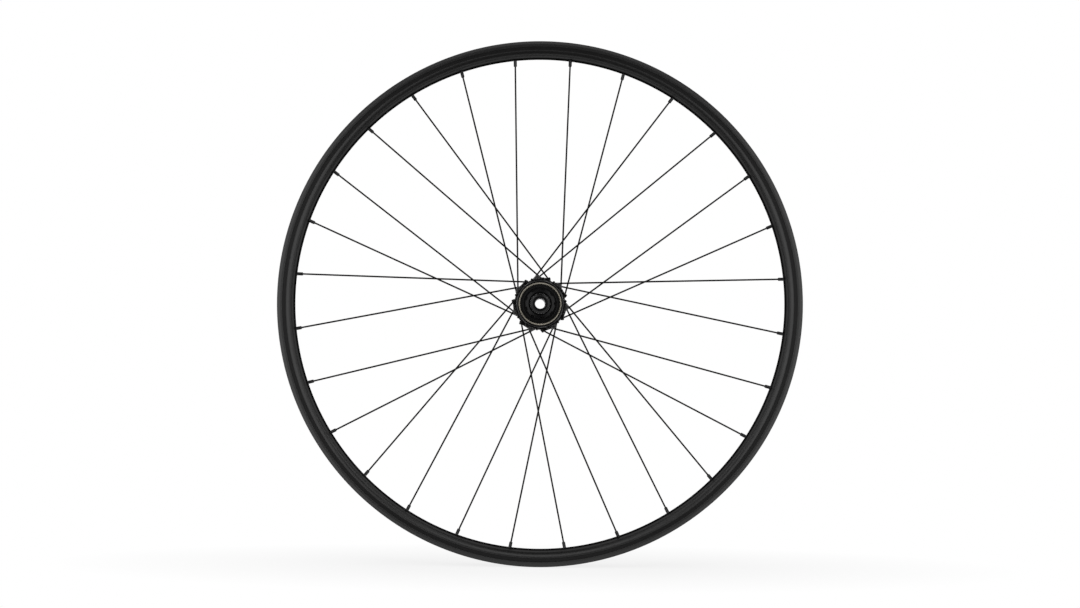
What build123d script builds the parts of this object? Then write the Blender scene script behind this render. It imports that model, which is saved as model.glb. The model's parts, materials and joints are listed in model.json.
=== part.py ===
from build123d import *
import os
from math import acos, atan2, cos, degrees, hypot, radians, sin, tan

# A rear mountain-bike wheel, drive side towards -Y, turning about Y, with the valve hole at the top (+Z).
# Lengths are in millimetres, angles in degrees from +X towards +Z. A station is a distance along the axle
# from the wheel's centre plane, positive towards the drive side.

# Rim section
bead_seat_diameter = 622.0
bead_wall_height = 5.9
bead_wall = 2.5
bead_crease_drop = 3.7
bead_wall_lean = 0.5
inner_width = 30.0
rim_height = 20.0
bed_width = 18.0
bed_crown = 0.5
bed_wall = 1.8
side_wall = 1.1
side_bulge = 1.6
shoulder_drop = 5.2
groove_width = 4.2
groove_depth = 0.9
bead_seat_width = 4.5
bead_seat_wall = 1.3
well_depth = 4.6
well_width = 15.0
well_wall = 1.1
valve_hole_diameter = 6.5
valve_seat_diameter = 10.0
valve_seat_depth = 0.5
drill_overrun = 2.0

# Lacing
spoke_pairs = 7
holes_from_boss = 3
valve_angle = 90.0
spoke_diameter = 2.0
head_diameter = 3.8
head_length = 1.8
drive_tangent_radius = 24.2
disc_tangent_radius = 26.8
head_spread = 13.5
hole_offset = 2.5
cross_clearance = 1.2
spoke_clearance = 0.15

# Nipples
nipple_flats = 3.3
nipple_diameter = 4.0
nipple_reach = 7.2
nipple_head_diameter = 5.8
nipple_head_height = 2.6
nipple_thread_clearance = 0.05
nipple_hole_clearance = 0.15
thread_past_seat = 1.0
thread_end_gap = 0.2
nipple_seat_gap = 0.1
access_hole_diameter = 8.4

# Hub
over_ends = 148.0
drive_flange_station = 20.5
disc_flange_station = -33.5
boss_wall = 1.45
boss_spot_depth = 0.5
boss_lobe = 2.7
boss_lobe_length = 3.2
boss_corner = 1.5
boss_root = 5.0
boss_top_rise = 2.05
post_diameter = 7.5
post_rise = 2.5
post_proud = 2.0
head_pocket_gap = 0.2
flange_rim_drop = 0.4
lip_length = 4.3
lip_wall = 2.7
lip_edge = 1.6
shell_diameter = 32.0
shell_bore_diameter = 23.0
shell_waist = 19.0
waist_shift = 4.0
drive_flare = 2.8
disc_flare = 1.4
neck_diameter = 38.0
neck_taper = 5.5
bearing_behind_flange = 10.5
cavity_gap = 0.8

# Brake disc mount, six bolts on a circle
rotor_offset = 15.5
rotor_bolt_circle = 44.0
rotor_bolts = 6
rotor_thread_hole = 4.2
rotor_ear_diameter = 10.6
rotor_plate_diameter = 42.0
rotor_plate = 7.0
rotor_spigot_diameter = 34.9
rotor_spigot_height = 2.5
rotor_ear_fillet = 2.0

# Axle, bearings and end caps
through_axle_bore = 12.2
axle_diameter = 15.0
axle_shoulder_diameter = 18.0
hub_bearing_diameter = 28.0
hub_bearing_width = 7.0
slim_bearing_diameter = 24.0
slim_bearing_width = 5.0
race_share = 0.25
seal_thickness = 0.9
seal_recess = 0.2
seal_lip_clearance = 0.08
seat_clearance = 0.02
cap_lip = 3.0
cap_nose_diameter = 18.8
drive_cap_length = 13.0
drive_cap_gap = 0.3
disc_cap_gap = 0.8
disc_bearing_inset = 1.0
cap_skirt = 5.2
cap_end_gap = 0.4

# Freehub and freewheel
spline_diameter = 34.8
spline_depth = 1.2
spline_count = 9
spline_groove = 4.6
spline_key_groove = 3.2
freehub_end_drop = 7.0
freehub_bore_step = 0.7
freehub_bearing_inset = 0.45
lockring_step = 0.9
lockring_wall = 2.8
freehub_flange_step = 1.2
freehub_flange = 2.7
freehub_flange_gap = 0.5
skirt_past_pivot = 2.0
spring_groove_floor = 0.93
skirt_end_gap = 1.7
drive_ring_diameter = 51.2
drive_ring_proud = 0.8
drive_ring_floor_gap = 0.5
drive_ring_mouth_wall = 2.0
drive_ring_chamfer = 0.5
tooth_count = 24
tooth_gap = 0.6
tooth_depth = 1.2
tooth_face_share = 0.08
pawl_count = 3
pawl_pivot_diameter = 3.4
pawl_length = 7.6
pawl_tip = 0.8
pawl_width = 5.8
pawl_swing = 15.0
pawl_inset = 1.1
pawl_clearance = 0.05
pawl_side_gap = 0.2
pawl_pocket_gap = 0.3
pawl_pocket_lift = 1.7
pawl_tip_gap = 0.3
pawl_back = 0.85
pawl_tooth_gap = 0.2
pawl_spring_wall = 0.65
pawl_spring_width = 0.9
pawl_spring_gap = 0.3
pawl_spring_opening = 20.0
lip_seal_gap = 0.25
lip_seal_step_gap = 0.6

# Radii and stations that follow from the sizes above
rim_r = bead_seat_diameter / 2 + bead_wall_height
bead_seat_r = bead_seat_diameter / 2
bed_r = rim_r - rim_height
well_r = bead_seat_r - well_depth
half_inner = inner_width / 2
half_outer = half_inner + bead_wall
shoulder_r = bead_seat_r - shoulder_drop
nipple_seat_r = bed_r + bed_wall

hole_pitch = 360 / (4 * spoke_pairs)
boss_reach = holes_from_boss * hole_pitch
spoke_r = spoke_diameter / 2
spoke_hole_r = spoke_r + spoke_clearance
cross_gap = spoke_diameter + cross_clearance
flange_half = cross_gap / 2 + spoke_hole_r + boss_wall

axle_r = axle_diameter / 2
race_bore_r = axle_r + seat_clearance
cap_end = over_ends / 2
drive_bearing_in = drive_flange_station - bearing_behind_flange
drive_bearing_out = drive_bearing_in + hub_bearing_width
rotor_face = -cap_end + rotor_offset
spigot_end = rotor_face - rotor_spigot_height
disc_bearing_out = spigot_end + disc_bearing_inset
disc_bearing_in = disc_bearing_out + hub_bearing_width
slim_bearing_out = cap_end - drive_cap_length
slim_bearing_in = slim_bearing_out - slim_bearing_width

cavity_floor = drive_bearing_out + cavity_gap
skirt_end = cavity_floor + skirt_end_gap
pawl_near = skirt_end + pawl_inset
pawl_far = pawl_near + pawl_width
freehub_bearing_in = skirt_end + freehub_bearing_inset
freehub_bearing_out = freehub_bearing_in + hub_bearing_width
flange_front = drive_flange_station + flange_half
lip_end = flange_front + lip_length
drive_ring_near = cavity_floor + drive_ring_floor_gap
drive_ring_step = pawl_far + pawl_side_gap
drive_ring_end = lip_end + drive_ring_proud
freehub_flange_near = drive_ring_end + freehub_flange_gap
spline_start = freehub_flange_near + freehub_flange
freehub_end = cap_end - freehub_end_drop

# The freewheel is built outwards from the seat of its bearing: spring groove, pawls, skirt and teeth
hub_seat_r = hub_bearing_diameter / 2 + seat_clearance
spring_inner_r = hub_seat_r + spring_groove_floor
spring_outer_r = spring_inner_r + pawl_spring_wall
heel_r = pawl_pivot_diameter / 2
pivot_r = spring_outer_r + pawl_spring_gap + heel_r
skirt_r = pivot_r + skirt_past_pivot
freehub_flange_r = skirt_r + freehub_flange_step
tooth_tip_r = skirt_r + tooth_gap
tooth_root_r = tooth_tip_r + tooth_depth
drive_ring_r = drive_ring_diameter / 2
mouth_r = drive_ring_r - drive_ring_mouth_wall
spline_r = spline_diameter / 2
spline_root_r = spline_r - spline_depth

# Local x is the radius and local y the station, for the turned pieces
half_section = Plane(origin=(0, 0, 0), x_dir=(1, 0, 0), z_dir=(0, 0, -1))


def wheel_point(radius, angle, station):
    # A point from its radius and angle in the wheel's plane and its station along the axle
    return Vector(radius * cos(radians(angle)), -station, radius * sin(radians(angle)))


def ring_section(inner_r, outer_r, near, far):
    # A rectangle on the half section, which turns into a plain ring
    with Locations(((inner_r + outer_r) / 2, (near + far) / 2)):
        Rectangle(outer_r - inner_r, abs(far - near))


# Lacing: a boss sends one spoke each way (turn +1 or -1) to the rim holes boss_reach from its centre. Both
# run tangent to one circle round the axle, and each head sits past the boss's centre on the far side.
first_boss = hole_pitch / 2 + boss_reach
sides = {
    "drive": (drive_tangent_radius, drive_flange_station, hole_offset, valve_angle - first_boss),
    "disc": (disc_tangent_radius, disc_flange_station, -hole_offset, valve_angle + first_boss),
}


def lace(side, boss, turn):
    # The head's place on the boss and the nipple's seat in the rim, for one spoke
    tangent_r, flange_station, hole_station, start_angle = sides[side]
    boss_angle = start_angle + boss * 360 / spoke_pairs
    hole_angle = boss_angle + turn * boss_reach
    foot_angle = hole_angle - turn * degrees(acos(tangent_r / nipple_seat_r))
    head_angle = boss_angle - turn * head_spread
    head_r = tangent_r / cos(radians(head_angle - foot_angle))
    head = wheel_point(head_r, head_angle, flange_station + turn * cross_gap / 2)
    seat = wheel_point(nipple_seat_r, hole_angle, hole_station)
    return head, seat


laces = {}
for side in sides:
    for boss in range(spoke_pairs):
        for turn in (1, -1):
            number = 2 * boss + (1 if turn > 0 else 2)
            laces[f"{side}_{number:02d}"] = lace(side, boss, turn)

seat_planes = [Plane(origin=seat, x_dir=(0, 1, 0), z_dir=seat - head) for head, seat in laces.values()]

os.makedirs("parts", exist_ok=True)

# Rim: a hollow double-wall hoop. The bead walls stand on the bead seats, the well lies between them, and the
# spoke bed closes the section towards the hub. A groove runs along each outer wall above the shoulder.
bed_edge = bed_width / 2
bed_edge_r = bed_r + bed_crown
groove_top = shoulder_r + groove_width
well_edge = well_width / 2
bead_seat_edge = half_inner - bead_seat_width
arc_middle_r = (bed_edge_r + shoulder_r) / 2
arc_middle = (bed_edge + half_outer) / 2
arc_chord = hypot(shoulder_r - bed_edge_r, half_outer - bed_edge)
arc_lean = (half_outer - bed_edge) / arc_chord
arc_rise = (shoulder_r - bed_edge_r) / arc_chord
hollow_bulge = side_bulge - side_wall
hollow_top_r = bead_seat_r - bead_seat_wall
hollow_edge = half_outer - groove_depth - side_wall

with BuildPart() as rim:
    with BuildSketch(half_section):
        with BuildLine():
            Line((bed_r, 0), (bed_edge_r, bed_edge))
            ThreePointArc(
                (bed_edge_r, bed_edge),
                (arc_middle_r - side_bulge * arc_lean, arc_middle + side_bulge * arc_rise),
                (shoulder_r, half_outer),
            )
            Polyline(
                (shoulder_r, half_outer),
                (shoulder_r + groove_depth, half_outer - groove_depth),
                (groove_top, half_outer - groove_depth),
                (groove_top + groove_depth, half_outer),
                (rim_r - bead_crease_drop, half_outer),
                (rim_r, half_outer - bead_wall_lean),
                (rim_r, half_inner),
                (bead_seat_r, half_inner),
                (bead_seat_r, bead_seat_edge),
                (well_r, well_edge),
                (well_r, 0),
                (bed_r, 0),
            )
        make_face()
        with BuildLine():
            Line((nipple_seat_r, 0), (nipple_seat_r, bed_edge))
            ThreePointArc(
                (nipple_seat_r, bed_edge),
                (arc_middle_r - hollow_bulge * arc_lean, arc_middle + hollow_bulge * arc_rise),
                (shoulder_r, hollow_edge),
            )
            Polyline(
                (shoulder_r, hollow_edge),
                (hollow_top_r, hollow_edge),
                (hollow_top_r, bead_seat_edge),
                (well_r - well_wall, well_edge),
                (well_r - well_wall, 0),
                (nipple_seat_r, 0),
            )
        make_face(mode=Mode.SUBTRACT)
        mirror(about=Plane.XZ)
    revolve(axis=Axis.Y)
    # each nipple goes in through an access hole in the well and seats in a smaller hole in the bed
    with Locations(*[plane.offset(drill_overrun) for plane in seat_planes]):
        Hole(radius=nipple_diameter / 2 + nipple_hole_clearance, depth=bed_wall + 2 * drill_overrun)
    with Locations(*[plane.offset(rim_r - nipple_seat_r) for plane in seat_planes]):
        Hole(radius=access_hole_diameter / 2, depth=rim_r - well_r + well_wall + drill_overrun)
    valve_mouth = wheel_point(bed_r, valve_angle, 0)
    with Locations(Plane(origin=valve_mouth, z_dir=-valve_mouth)):
        CounterBoreHole(
            radius=valve_hole_diameter / 2,
            counter_bore_radius=valve_seat_diameter / 2,
            counter_bore_depth=valve_seat_depth,
            depth=rim_height,
        )
rim.part.label = "rim"
export_step(rim.part, "parts/rim.step")

# Spokes: straight-pull, one diameter from the flat-seated head to the end inside the nipple
for name, (head, seat) in laces.items():
    with BuildPart() as spoke:
        with BuildSketch(Plane(origin=head, z_dir=seat - head)):
            Circle(spoke_r)
        extrude(amount=(seat - head).length + thread_past_seat)
        with BuildSketch(Plane(origin=head, z_dir=head - seat)):
            Circle(head_diameter / 2)
        extrude(amount=head_length)
    spoke.part.label = f"spoke_{name}"
    export_step(spoke.part, f"parts/spoke_{name}.step")

# Nipples: a barrel with four spanner flats, and a round head whose cone seats in the bed's hole from outside
barrel_end = -bed_wall - nipple_reach
cone_taper = degrees(atan2(nipple_head_diameter - nipple_diameter, 2 * nipple_head_height))
with BuildPart() as nipple:
    with BuildSketch(Plane.XY.offset(barrel_end)):
        Circle(nipple_diameter / 2)
        Rectangle(nipple_flats, nipple_flats, mode=Mode.INTERSECT)
    extrude(amount=nipple_seat_gap - barrel_end)
    with BuildSketch(Plane.XY.offset(nipple_seat_gap)):
        Circle(nipple_diameter / 2)
    extrude(amount=nipple_head_height, taper=-cone_taper)
    with BuildSketch(Plane.XY.offset(barrel_end)):
        Circle(spoke_r + nipple_thread_clearance)
    extrude(amount=thread_past_seat + thread_end_gap - barrel_end, mode=Mode.SUBTRACT)

with BuildPart() as nipples:
    with Locations(*seat_planes):
        add(nipple.part)
nipples.part.label = "nipples"
export_step(nipples.part, "parts/nipples.step")


def boss_lace(side):
    # One spoke's head and direction on a boss that points along +x, seen along the axle
    tangent_r = sides[side][0]
    foot_angle = boss_reach - degrees(acos(tangent_r / nipple_seat_r))
    head_r = tangent_r / cos(radians(head_spread + foot_angle))
    head = Vector(head_r, 0).rotate(Axis.Z, -head_spread)
    along = Vector(0, 1).rotate(Axis.Z, foot_angle)
    return head, along


def boss_outline(side):
    # One boss seen along the axle, pointing along +x: a flat top between two lobes, whose flanks stand square
    # to the spokes and take their heads
    head, along = boss_lace(side)
    across = Vector(along.Y, -along.X)
    flank = head - along * boss_spot_depth
    root = flank - across * boss_root
    lobe = flank + across * boss_lobe
    lobe_end = lobe + along * boss_lobe_length
    top = head.X + boss_top_rise
    notch = lobe_end - across * ((lobe_end.X - top) / across.X)
    with BuildSketch(mode=Mode.PRIVATE) as outline:
        with BuildLine():
            Polyline(
                (root.X, 0),
                (root.X, root.Y),
                (lobe.X, lobe.Y),
                (lobe_end.X, lobe_end.Y),
                (top, notch.Y),
                (top, 0),
            )
            mirror(about=Plane.XZ)
        make_face()
        lobe_corners = outline.vertices().sort_by(Axis.X)[-4:]
        fillet(lobe_corners, boss_corner)
    return outline.sketch


def head_to_crossing(side):
    # How far along a spoke from its head the other spoke of the pair crosses it, clear of the boss
    head, along = boss_lace(side)
    return -head.Y / along.Y


def flange_rim_radius(side):
    # The round rim between the bosses stands a little lower than the spoke heads
    return boss_lace(side)[0].length - flange_rim_drop


# Hub shell: the turned body with two flanges of straight-pull bosses and the brake disc mount, then the
# bearing seats and the freewheel's cavity bored out of it, and the spoke holes drilled along the spokes. On
# the drive side a round-nosed post stands in the middle of each boss, below the place where its spokes cross.
shell_r = shell_diameter / 2
neck_r = neck_diameter / 2
lip_r = drive_ring_r + lip_wall
flange_back = drive_flange_station - flange_half
disc_inner = disc_flange_station + flange_half
disc_outer = disc_flange_station - flange_half
waist_drive = (flange_back + disc_inner + shell_waist) / 2 - waist_shift
waist_disc = waist_drive - shell_waist
cavity_r = drive_ring_r + seat_clearance
post_r = post_diameter / 2
post_at = boss_lace("drive")[0].X + post_rise
nose_station = flange_front + post_proud - post_r
boss_angles = [sides["drive"][3] + boss * 360 / spoke_pairs for boss in range(spoke_pairs)]
post_noses = [wheel_point(post_at, angle, nose_station) for angle in boss_angles]

with BuildPart() as hub_shell:
    with BuildSketch(half_section):
        with BuildLine():
            Line((0, lip_end), (lip_r - lip_edge, lip_end))
            RadiusArc((lip_r - lip_edge, lip_end), (lip_r, lip_end - lip_edge), lip_edge)
            Line((lip_r, lip_end - lip_edge), (lip_r, flange_back))
            SagittaArc((lip_r, flange_back), (shell_r, waist_drive), -drive_flare)
            Line((shell_r, waist_drive), (shell_r, waist_disc))
            SagittaArc((shell_r, waist_disc), (lip_r, disc_inner), -disc_flare)
            Polyline(
                (lip_r, disc_inner),
                (lip_r, disc_outer),
                (neck_r, disc_outer - neck_taper),
                (neck_r, rotor_face),
                (rotor_spigot_diameter / 2, rotor_face),
                (rotor_spigot_diameter / 2, spigot_end),
                (0, spigot_end),
                (0, lip_end),
            )
        make_face()
    revolve(axis=Axis.Y)
    for side in sides:
        with BuildSketch(Plane.XZ.offset(sides[side][1])):
            Circle(flange_rim_radius(side))
            with PolarLocations(0, spoke_pairs, start_angle=sides[side][3]):
                add(boss_outline(side))
        extrude(amount=flange_half, both=True)
    with BuildSketch(Plane.XZ.offset(flange_back)):
        with PolarLocations(post_at, spoke_pairs, start_angle=sides["drive"][3]):
            Circle(post_r)
    extrude(amount=nose_station - flange_back)
    with Locations(*post_noses):
        Sphere(post_r)
    with BuildSketch(Plane.XZ.offset(rotor_face)) as rotor_mount:
        Circle(rotor_plate_diameter / 2)
        with PolarLocations(rotor_bolt_circle / 2, rotor_bolts):
            Circle(rotor_ear_diameter / 2)
        fillet(rotor_mount.vertices(), rotor_ear_fillet)
        with PolarLocations(rotor_bolt_circle / 2, rotor_bolts):
            Circle(rotor_thread_hole / 2, mode=Mode.SUBTRACT)
    extrude(amount=rotor_plate)
    with BuildSketch(half_section):
        ring_section(0, shell_bore_diameter / 2, spigot_end, lip_end)
        ring_section(0, hub_seat_r, spigot_end, disc_bearing_in)
        ring_section(0, hub_seat_r, drive_bearing_in, cavity_floor)
        ring_section(0, cavity_r, cavity_floor, lip_end)
    revolve(axis=Axis.Y, mode=Mode.SUBTRACT)
    for side in sides:
        side_laces = [ends for name, ends in laces.items() if name.startswith(side)]
        head_planes = [Plane(origin=head, z_dir=head - seat) for head, seat in side_laces]
        with Locations(*head_planes):
            Hole(radius=spoke_hole_r, depth=head_to_crossing(side))
        with BuildSketch(*head_planes):
            Circle(head_diameter / 2 + head_pocket_gap)
        extrude(amount=head_length + head_pocket_gap, mode=Mode.SUBTRACT)
hub_shell.part.label = "hub_shell"
export_step(hub_shell.part, "parts/hub_shell.step")

# Axle: a tube for the through axle, with a shoulder that keeps the two hub bearings apart
axle_end = cap_end - cap_lip
with BuildPart() as axle:
    with BuildSketch(half_section):
        ring_section(through_axle_bore / 2, axle_r, -axle_end, axle_end)
        ring_section(through_axle_bore / 2, axle_shoulder_diameter / 2, disc_bearing_in, drive_bearing_in)
    revolve(axis=Axis.Y)
axle.part.label = "axle"
export_step(axle.part, "parts/axle.step")

# Spacers on the axle, which hold the inner rings of the freehub bearings
spacers = {
    "axle_spacer": (drive_bearing_out, freehub_bearing_in),
    "freehub_sleeve": (freehub_bearing_out, slim_bearing_in),
}
for name, (near, far) in spacers.items():
    with BuildPart() as spacer:
        with BuildSketch(half_section):
            ring_section(race_bore_r, axle_shoulder_diameter / 2, near, far)
        revolve(axis=Axis.Y)
    spacer.part.label = name
    export_step(spacer.part, f"parts/{name}.step")

# Sealed cartridge bearings: an outer ring, an inner ring and a rubber seal at each face
bearings = {
    "drive_hub_bearing": (hub_bearing_diameter, drive_bearing_in, drive_bearing_out),
    "disc_hub_bearing": (hub_bearing_diameter, disc_bearing_out, disc_bearing_in),
    "inner_freehub_bearing": (hub_bearing_diameter, freehub_bearing_in, freehub_bearing_out),
    "outer_freehub_bearing": (slim_bearing_diameter, slim_bearing_in, slim_bearing_out),
}
for name, (diameter, near, far) in bearings.items():
    race_wall = race_share * (diameter / 2 - race_bore_r)
    outer_race_r = diameter / 2 - race_wall
    inner_race_r = race_bore_r + race_wall
    with BuildPart() as outer_ring:
        with BuildSketch(half_section):
            ring_section(outer_race_r, diameter / 2, near, far)
        revolve(axis=Axis.Y)
    outer_ring.part.label = f"{name}_outer"
    export_step(outer_ring.part, f"parts/{name}_outer.step")

    with BuildPart() as inner_ring:
        with BuildSketch(half_section):
            ring_section(race_bore_r, inner_race_r, near, far)
        revolve(axis=Axis.Y)
    inner_ring.part.label = f"{name}_inner"
    export_step(inner_ring.part, f"parts/{name}_inner.step")

    with BuildPart() as seals:
        with BuildSketch(half_section):
            for outside, inward in ((near, 1), (far, -1)):
                face = outside + inward * seal_recess
                ring_section(
                    inner_race_r + seal_lip_clearance,
                    outer_race_r - seat_clearance,
                    face,
                    face + inward * seal_thickness,
                )
        revolve(axis=Axis.Y)
    seals.part.label = f"{name}_seals"
    export_step(seals.part, f"parts/{name}_seals.step")

# End caps: each slips over the axle's end, holds the bearings' inner rings and meets the frame with its nose
cap_nose_r = cap_nose_diameter / 2
caps = {
    "drive_end_cap": (1, slim_bearing_out, slim_bearing_out, slim_bearing_diameter / 2 - drive_cap_gap),
    "disc_end_cap": (-1, -disc_bearing_out, -spigot_end, hub_bearing_diameter / 2 - disc_cap_gap),
}
for name, (hand, bearing_face, shell_face, cap_r) in caps.items():
    skirt_near = shell_face + cap_end_gap
    skirt_far = skirt_near + cap_skirt - (shell_face - bearing_face)
    cone_end = skirt_far + cap_r - cap_nose_r
    outline = [
        (race_bore_r, bearing_face),
        (axle_shoulder_diameter / 2, bearing_face),
        (axle_shoulder_diameter / 2, skirt_near),
        (cap_r, skirt_near),
        (cap_r, skirt_far),
        (cap_nose_r, cone_end),
        (cap_nose_r, cap_end),
        (through_axle_bore / 2, cap_end),
        (through_axle_bore / 2, axle_end),
        (race_bore_r, axle_end),
    ]
    with BuildPart() as end_cap:
        with BuildSketch(half_section):
            with BuildLine():
                Polyline(*[(radius, hand * station) for radius, station in outline], close=True)
            make_face()
        revolve(axis=Axis.Y)
    end_cap.part.label = name
    export_step(end_cap.part, f"parts/{name}.step")

# Pawls: each swings about its round heel, from its pocket in the skirt out to the drive ring's teeth
tip_reach = (skirt_r - pawl_pocket_gap) ** 2 - pawl_length**2
tip_outer = Vector(tip_reach**0.5, -pawl_length)
tip_inner = tip_outer - Vector(pawl_tip, 0)
pawl_angles = [valve_angle + number * 360 / pawl_count for number in range(pawl_count)]


def pawl_outline(grow=0.0, tip_gap=0.0, lift=0.0):
    # The pawl seen along the axle, its heel on +x and its tip clockwise of it. The pocket is the same outline
    # grown round the heel, lengthened past the tip and lifted outwards.
    outer = pivot_r + heel_r + lift
    with BuildSketch(mode=Mode.PRIVATE) as outline:
        with Locations((pivot_r, 0)):
            Circle(heel_r + grow)
        with BuildLine():
            Polyline(
                (outer, -pawl_back),
                (tip_outer.X + lift, tip_outer.Y - tip_gap),
                (tip_inner.X - grow, tip_inner.Y - tip_gap),
                (pivot_r - heel_r - grow, 0),
                (pivot_r, heel_r + grow),
                (outer, 0),
                close=True,
            )
        make_face()
    return outline.sketch


for number, angle in enumerate(pawl_angles, start=1):
    with BuildPart() as pawl:
        with BuildSketch(Plane.XZ.offset(pawl_near)):
            with PolarLocations(0, 1, start_angle=angle):
                add(pawl_outline())
        extrude(amount=pawl_width)
    pawl.part.label = f"pawl_{number}"
    export_step(pawl.part, f"parts/pawl_{number}.step")

# Drive ring: fast in the shell, with sawtooth teeth inside that face the pawls' tips when they swing out
swung_tip = Vector(pivot_r, 0) + (tip_inner - Vector(pivot_r, 0)).rotate(Axis.Z, pawl_swing)
tooth_pitch = 360 / tooth_count
tip_angle = degrees(atan2(swung_tip.Y, swung_tip.X))
tooth_phase = valve_angle + tip_angle - degrees(pawl_tooth_gap / tooth_tip_r) - tooth_face_share * tooth_pitch
tooth_corners = []
for tooth in range(tooth_count):
    tip_at = tooth_phase + tooth * tooth_pitch
    root_at = tip_at + tooth_face_share * tooth_pitch
    tooth_corners.append((tooth_tip_r * cos(radians(tip_at)), tooth_tip_r * sin(radians(tip_at))))
    tooth_corners.append((tooth_root_r * cos(radians(root_at)), tooth_root_r * sin(radians(root_at))))

with BuildPart() as drive_ring:
    with BuildSketch(Plane.XZ.offset(drive_ring_near)):
        Circle(drive_ring_r)
        with BuildLine():
            Polyline(*tooth_corners, close=True)
        make_face(mode=Mode.SUBTRACT)
    extrude(amount=drive_ring_step - drive_ring_near)
    with BuildSketch(Plane.XZ.offset(drive_ring_step)):
        Circle(drive_ring_r)
        Circle(mouth_r, mode=Mode.SUBTRACT)
    extrude(amount=drive_ring_end - drive_ring_step)
    front_edges = drive_ring.edges().group_by(Axis.Y)[0]
    chamfer(front_edges, drive_ring_chamfer)
drive_ring.part.label = "drive_ring"
export_step(drive_ring.part, "parts/drive_ring.step")

# Pawl spring: an open ring in a groove round the skirt, under the pawls
spring_middle = (pawl_near + pawl_far) / 2
spring_near = spring_middle - pawl_spring_width / 2
spring_far = spring_middle + pawl_spring_width / 2
with BuildPart() as pawl_spring:
    with BuildSketch(half_section):
        ring_section(spring_inner_r, spring_outer_r, spring_near, spring_far)
    revolve(axis=Axis.Y, revolution_arc=360 - pawl_spring_opening)
pawl_spring.part.label = "pawl_spring"
export_step(pawl_spring.part, "parts/pawl_spring.step")

# Freehub body: the splined sleeve for the sprockets, its base flange, and the skirt that carries the pawls
with BuildPart() as freehub_body:
    with BuildSketch(half_section):
        ring_section(0, skirt_r, skirt_end, freehub_flange_near)
        ring_section(0, freehub_flange_r, freehub_flange_near, spline_start)
        ring_section(0, spline_r, spline_start, freehub_end)
    revolve(axis=Axis.Y)
    with BuildSketch(half_section):
        ring_section(0, hub_seat_r, skirt_end, freehub_bearing_out)
        ring_section(0, slim_bearing_diameter / 2 - freehub_bore_step, skirt_end, freehub_end)
        ring_section(0, slim_bearing_diameter / 2 + seat_clearance, slim_bearing_in, freehub_end)
        ring_section(0, spline_root_r - lockring_wall, slim_bearing_out + lockring_step, freehub_end)
        ring_section(spring_inner_r, skirt_r, spring_near - pawl_side_gap, spring_far + pawl_side_gap)
    revolve(axis=Axis.Y, mode=Mode.SUBTRACT)
    groove_rise = 2 * spline_depth
    with BuildSketch(Plane.XZ.offset(spline_start)):
        for groove in range(spline_count):
            width = spline_key_groove if groove == 0 else spline_groove
            with PolarLocations(spline_root_r + groove_rise / 2, 1, groove * 360 / spline_count):
                Rectangle(groove_rise, width)
    extrude(amount=freehub_end - spline_start, mode=Mode.SUBTRACT)
    for angle in pawl_angles:
        with BuildSketch(Plane.XZ.offset(pawl_near - pawl_side_gap)):
            with PolarLocations(0, 1, start_angle=angle):
                add(pawl_outline(pawl_clearance, pawl_tip_gap, pawl_pocket_lift))
        extrude(amount=pawl_width + 2 * pawl_side_gap, mode=Mode.SUBTRACT)
freehub_body.part.label = "freehub_body"
export_step(freehub_body.part, "parts/freehub_body.step")

# Freehub seal: a rubber lip on the skirt, close inside the mouth of the drive ring
lip_seal_r = mouth_r - lip_seal_gap
seal_body_r = (skirt_r + lip_seal_r) / 2
lip_seal_near = drive_ring_step + lip_seal_step_gap
lip_seal_middle = (lip_seal_near + drive_ring_end) / 2
with BuildPart() as freehub_seal:
    with BuildSketch(half_section):
        with BuildLine():
            Polyline(
                (skirt_r + seat_clearance, lip_seal_near),
                (seal_body_r, lip_seal_near),
                (lip_seal_r, lip_seal_middle),
                (lip_seal_r, drive_ring_end - lip_seal_gap),
                (seal_body_r, freehub_flange_near),
                (skirt_r + seat_clearance, freehub_flange_near),
                close=True,
            )
        make_face()
    revolve(axis=Axis.Y)
freehub_seal.part.label = "freehub_seal"
export_step(freehub_seal.part, "parts/freehub_seal.step")
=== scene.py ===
import json
import bpy
import numpy as np
from mathutils import Matrix, Vector

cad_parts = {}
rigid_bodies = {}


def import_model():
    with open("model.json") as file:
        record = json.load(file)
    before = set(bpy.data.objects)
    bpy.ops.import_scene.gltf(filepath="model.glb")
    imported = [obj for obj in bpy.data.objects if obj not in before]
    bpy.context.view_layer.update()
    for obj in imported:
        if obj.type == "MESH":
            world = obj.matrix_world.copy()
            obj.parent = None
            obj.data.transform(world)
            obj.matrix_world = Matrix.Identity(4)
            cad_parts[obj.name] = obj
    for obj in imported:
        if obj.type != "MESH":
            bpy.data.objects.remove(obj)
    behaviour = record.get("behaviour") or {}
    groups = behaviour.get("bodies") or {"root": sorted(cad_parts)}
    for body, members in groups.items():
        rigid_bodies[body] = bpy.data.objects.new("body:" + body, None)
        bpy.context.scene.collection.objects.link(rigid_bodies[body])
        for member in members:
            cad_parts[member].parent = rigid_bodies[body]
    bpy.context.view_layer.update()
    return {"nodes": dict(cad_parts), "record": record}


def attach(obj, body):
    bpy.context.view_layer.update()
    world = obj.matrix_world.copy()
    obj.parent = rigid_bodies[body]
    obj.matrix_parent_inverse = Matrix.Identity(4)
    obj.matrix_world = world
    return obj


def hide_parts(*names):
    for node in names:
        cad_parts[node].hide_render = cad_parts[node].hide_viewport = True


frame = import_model()
nodes = frame["nodes"]
scene = bpy.context.scene
mm = 0.001  # shapes are worked out in millimetres and go into meshes in metres
print("frame loaded:", len(nodes), "nodes")

# Stations run along the axle, positive towards the drive side (-Y). Angles run from +X towards +Z.
towardsDrive = (0.0, -1.0, 0.0)
towardsDisc = (0.0, 1.0, 0.0)

outlineLimits = {
    "reach": 0.48,  # the most of a side that one corner's arc takes up
    "halfAngle": (0.02, np.pi / 2 - 0.0005),  # half a corner's angle is kept between these
    "apart": 1e-4,  # points closer together than this count as one
}


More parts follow.
